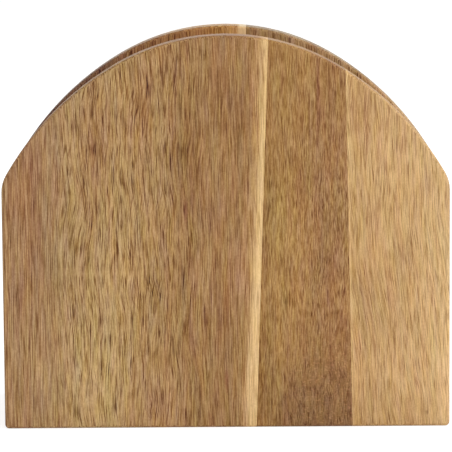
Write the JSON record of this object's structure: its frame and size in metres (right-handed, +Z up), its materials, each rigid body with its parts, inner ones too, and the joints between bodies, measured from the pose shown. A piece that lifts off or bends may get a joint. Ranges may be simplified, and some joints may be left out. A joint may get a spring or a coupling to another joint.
{
  "type": "napkin holder with drawer",
  "caption": "Upright wooden napkin holder: arched boards glued up from staves flank the napkins, and a small drawer slides out of one end of the base.",
  "frame": {"origin": "centre of the underside, halfway between the outer faces of the two boards", "axes": "+X along the boards, towards the end where the drawer opens; +Z up; the front board faces -Y"},
  "size_m": [0.165, 0.076, 0.1455],
  "materials": {
    "acacia_brown": "satin",
    "acacia_olive": "satin",
    "acacia_tan": "satin",
    "acacia_rear_brown": "satin",
    "acacia_rear_olive": "satin",
    "acacia_base": "satin",
    "acacia_panel": "satin",
    "acacia_drawer": "satin",
    "box_wood": "matte",
    "box_panel": "matte",
    "dowel_wood": "matte",
    "brad_steel": "bright"
  },
  "bodies": {
    "holder": {"front_stave_left": "acacia_brown", "front_stave_middle": "acacia_olive", "front_stave_right": "acacia_tan", "rear_stave_left": "acacia_rear_brown", "rear_stave_right": "acacia_rear_olive", "napkin_floor": "acacia_base", "base_plate": "acacia_base", "end_panel": "acacia_panel", "floor_dowels": "dowel_wood", "base_dowels": "dowel_wood", "panel_dowels": "dowel_wood", "stop_peg": "dowel_wood"},
    "drawer": {"drawer_front": "acacia_drawer", "drawer_side_near": "box_wood", "drawer_side_far": "box_wood", "drawer_back": "box_wood", "drawer_bottom": "box_panel", "drawer_brads": "brad_steel"}
  },
  "joints": [
    {"name": "drawer_slide", "type": "slide", "parent": "holder", "child": "drawer", "axis": [1, 0, 0], "range_m": [0, 0.113]}
  ]
}
